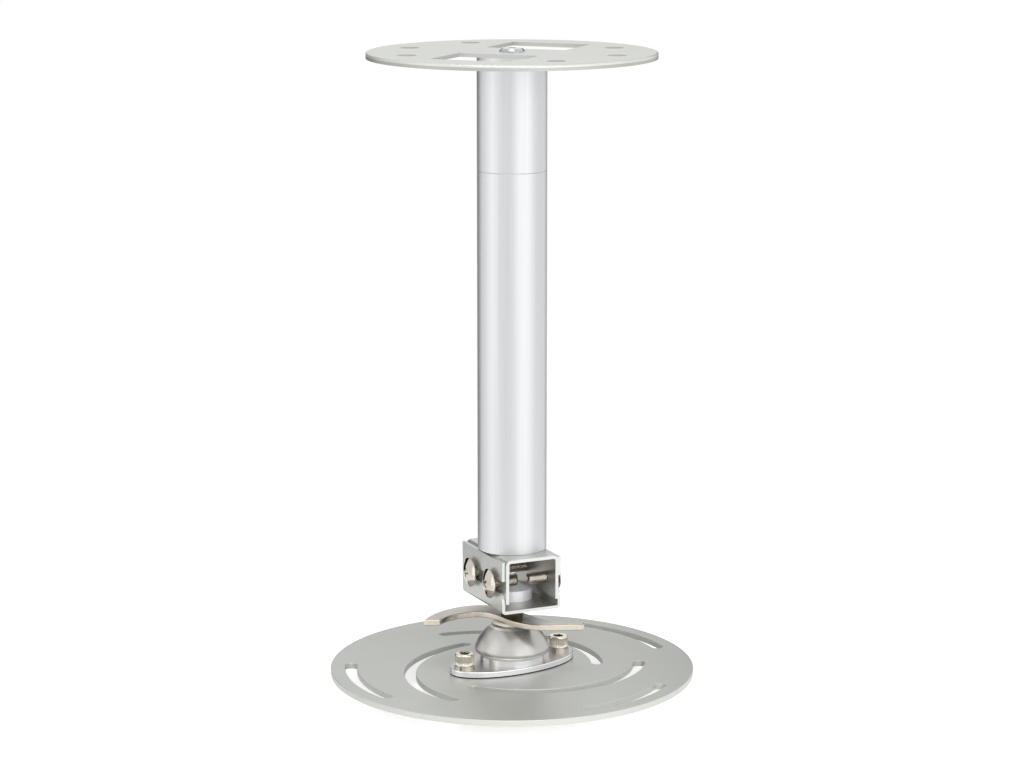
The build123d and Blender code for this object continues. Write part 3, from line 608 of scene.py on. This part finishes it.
lay_out(caps, tree, {"Pitch": CAP_PITCH, "Level": CAP_LEVEL, "Turn": HEAD_TURN})
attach(caps, "head")
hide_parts("flange_screws")
paint("flange_lock_washers", zinc)

# Projector plate
# Round steel plate with curved slots for a projector's arms, powder coated like the ceiling plate
# but in a darker silver. The housing is screwed to its middle.
PLATE_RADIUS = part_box("projector_plate")[1][0]
PLATE_EDGE = PLATE_RADIUS - 1.5 * MM

# Sprayed and baked powder: an even satin grey; its outer cut edge is painted a little paler, a painted
# highlight.
plate_coat, tree, skin = satin_coat("silver_powder_coat_on_plate", "#B6B8B2", "#C0C2BC", 0.38)
rim = add(tree, "ShaderNodeMath", {0: wall(tree), 1: beyond(tree, PLATE_EDGE)}, operation="MULTIPLY")
trim(tree, skin, rim.outputs["Value"], "#C4C6C0")
paint("projector_plate", plate_coat)

# Studio
# White floor that fades into a white surround, low enough for the plate to lean, upright softboxes
# and one overhead, and a camera as far off and as high as the photograph's.
CAMERA_AZIMUTH = 22.5
CAMERA_DISTANCE = 1.95045
CAMERA_HEIGHT = 0.17226
CAMERA_PITCH = 11.504
CAMERA_FOCUS = 2937.91      # in pixels
IMAGE_WIDTH = 1024
FLOOR_RADIUS = 0.45
FLOOR_STEPS = 96
FLOOR_DROP = 16 * MM
FADE_START = 0.45           # shares of the floor's radius
FADE_END = 0.98
FLOOR_GLOW_SEEN = 0.62
FLOOR_GLOW_MIRRORED = 0.4
SURROUND_LIGHT = 0.55
SURROUND_SEEN = 1.0
MIDDLE = -0.2               # height that the lamps aim at

floor_height = cad_box[0][2] - FLOOR_DROP
shape = bmesh.new()
bmesh.ops.create_circle(shape, cap_ends=True, segments=FLOOR_STEPS, radius=FLOOR_RADIUS,
                        matrix=Matrix.Translation((0, 0, floor_height)))
mesh = bpy.data.meshes.new("studio_floor")
shape.to_mesh(mesh)
shape.free()
floor = bpy.data.objects.new("studio_floor", mesh)
bpy.context.scene.collection.objects.link(floor)

# White card, lit to the white of the surround, with only a faint shadow left on it.
white_floor, tree = material("white_card")
place = add(tree, "ShaderNodeTexCoord").outputs["Object"]
level = add(tree, "ShaderNodeVectorMath", {0: place, 1: (1.0, 1.0, 0.0)}, operation="MULTIPLY")
reach = add(tree, "ShaderNodeVectorMath", {0: level.outputs["Vector"]}, operation="LENGTH")
fade = add(tree, "ShaderNodeMapRange", {
    "Value": reach.outputs["Value"],
    "From Min": FADE_START * FLOOR_RADIUS, "From Max": FADE_END * FLOOR_RADIUS},
    interpolation_type="SMOOTHSTEP")
card = add(tree, "ShaderNodeBsdfDiffuse", {"Color": rgb("#F4F4F4")})
path = add(tree, "ShaderNodeLightPath").outputs
mirrored = add(tree, "ShaderNodeMath", {
    0: path["Is Glossy Ray"], 1: path["Is Transmission Ray"]}, operation="MAXIMUM")
seen = add(tree, "ShaderNodeMath", {0: path["Is Camera Ray"], 1: FLOOR_GLOW_SEEN}, operation="MULTIPLY")
white = add(tree, "ShaderNodeMath", {
    0: mirrored.outputs["Value"], 1: FLOOR_GLOW_MIRRORED, 2: seen.outputs["Value"]},
    operation="MULTIPLY_ADD")
glow = add(tree, "ShaderNodeEmission", {"Color": rgb("#FFFFFF"), "Strength": white.outputs["Value"]})
lit = add(tree, "ShaderNodeAddShader", {0: card.outputs["BSDF"], 1: glow.outputs["Emission"]})
clear = add(tree, "ShaderNodeBsdfTransparent")
blend = add(tree, "ShaderNodeMixShader", {
    "Fac": fade.outputs["Result"], 1: lit.outputs["Shader"], 2: clear.outputs["BSDF"]})
add(tree, "ShaderNodeOutputMaterial", {"Surface": blend.outputs["Shader"]})
mesh.materials.append(white_floor)

world = bpy.data.worlds.new("white_surround")
bpy.context.scene.world = world
world.use_nodes = True
tree = world.node_tree
tree.nodes.clear()
path = add(tree, "ShaderNodeLightPath").outputs
soft = add(tree, "ShaderNodeBackground", {"Color": rgb("#FFFFFF"), "Strength": SURROUND_LIGHT})
seen = add(tree, "ShaderNodeBackground", {"Color": rgb("#FFFFFF"), "Strength": SURROUND_SEEN})
mirrored = add(tree, "ShaderNodeMath", {
    0: path["Is Glossy Ray"], 1: path["Is Transmission Ray"]}, operation="MAXIMUM")
direct = add(tree, "ShaderNodeMath", {
    0: mirrored.outputs["Value"], 1: path["Is Camera Ray"]}, operation="MAXIMUM")
shown = add(tree, "ShaderNodeMixShader", {
    "Fac": direct.outputs["Value"], 1: soft.outputs["Background"], 2: seen.outputs["Background"]})
add(tree, "ShaderNodeOutputWorld", {"Surface": shown.outputs["Shader"]})


def from_camera(azimuth, distance, height):
    """Point seen at this angle to the right of the camera, from the column."""
    angle = radians(CAMERA_AZIMUTH + azimuth)
    return Vector((distance * sin(angle), -distance * cos(angle), height))


def softbox(name, place, target, width, height, power):
    """Rectangular lamp facing a point, kept out of the picture itself."""
    lamp = bpy.data.lights.new(name, "AREA")
    lamp.shape = "RECTANGLE"
    lamp.size = width
    lamp.size_y = height
    lamp.energy = power
    held = bpy.data.objects.new(name, lamp)
    held.location = place
    held.rotation_euler = (target - place).to_track_quat("-Z", "Y").to_euler()
    held.visible_camera = False
    bpy.context.scene.collection.objects.link(held)
    return held


def flag(name, azimuth, distance, width, height):
    """Upright black card that only reflections show."""
    centre = from_camera(azimuth, distance, MIDDLE)
    side = from_camera(azimuth + 90, width / 2, 0)
    rise = Vector((0, 0, height / 2))
    corners = [centre + side * x + rise * y for x, y in ((-1, -1), (1, -1), (1, 1), (-1, 1))]
    shape = bmesh.new()
    shape.faces.new([shape.verts.new(corner) for corner in corners])
    mesh = bpy.data.meshes.new(name)
    shape.to_mesh(mesh)
    shape.free()
    mesh.materials.append(black_card)
    held = bpy.data.objects.new(name, mesh)
    bpy.context.scene.collection.objects.link(held)
    held.visible_camera = False
    held.visible_diffuse = False
    held.visible_shadow = False


# Black card: it gives the bright metal its dark bands.
black_card, tree = material("black_card")
card = add(tree, "ShaderNodeBsdfDiffuse", {"Color": rgb("#1A1A1A")})
add(tree, "ShaderNodeOutputMaterial", {"Surface": card.outputs["BSDF"]})
flag("flag_left", azimuth=-144, distance=1.2, width=0.7, height=1.6)
flag("flag_right", azimuth=158, distance=1.2, width=0.5, height=1.6)

middle = Vector((0, 0, MIDDLE))
softbox("softbox_right", from_camera(40, 1.6, 0.0), middle, width=1.7, height=1.8, power=6.5)
softbox("softbox_left", from_camera(-66, 1.6, 0.0), middle, width=1.0, height=1.8, power=3.2)
softbox("softbox_top", from_camera(0, 0.5, 1.3), middle, width=0.8, height=0.8, power=7.0)
fill = softbox("softbox_front", from_camera(14, 1.7, 0.0), middle, width=1.4, height=1.0, power=20.0)
fill.visible_glossy = False

eye = bpy.data.cameras.new("camera")
eye.sensor_width = 36
eye.lens = CAMERA_FOCUS * eye.sensor_width / IMAGE_WIDTH
camera = bpy.data.objects.new("camera", eye)
camera.location = from_camera(0, CAMERA_DISTANCE, CAMERA_HEIGHT)
camera.rotation_euler = (radians(90 - CAMERA_PITCH), 0, radians(CAMERA_AZIMUTH))
bpy.context.scene.collection.objects.link(camera)
bpy.context.scene.camera = camera
bpy.context.scene.view_settings.view_transform = "Standard"
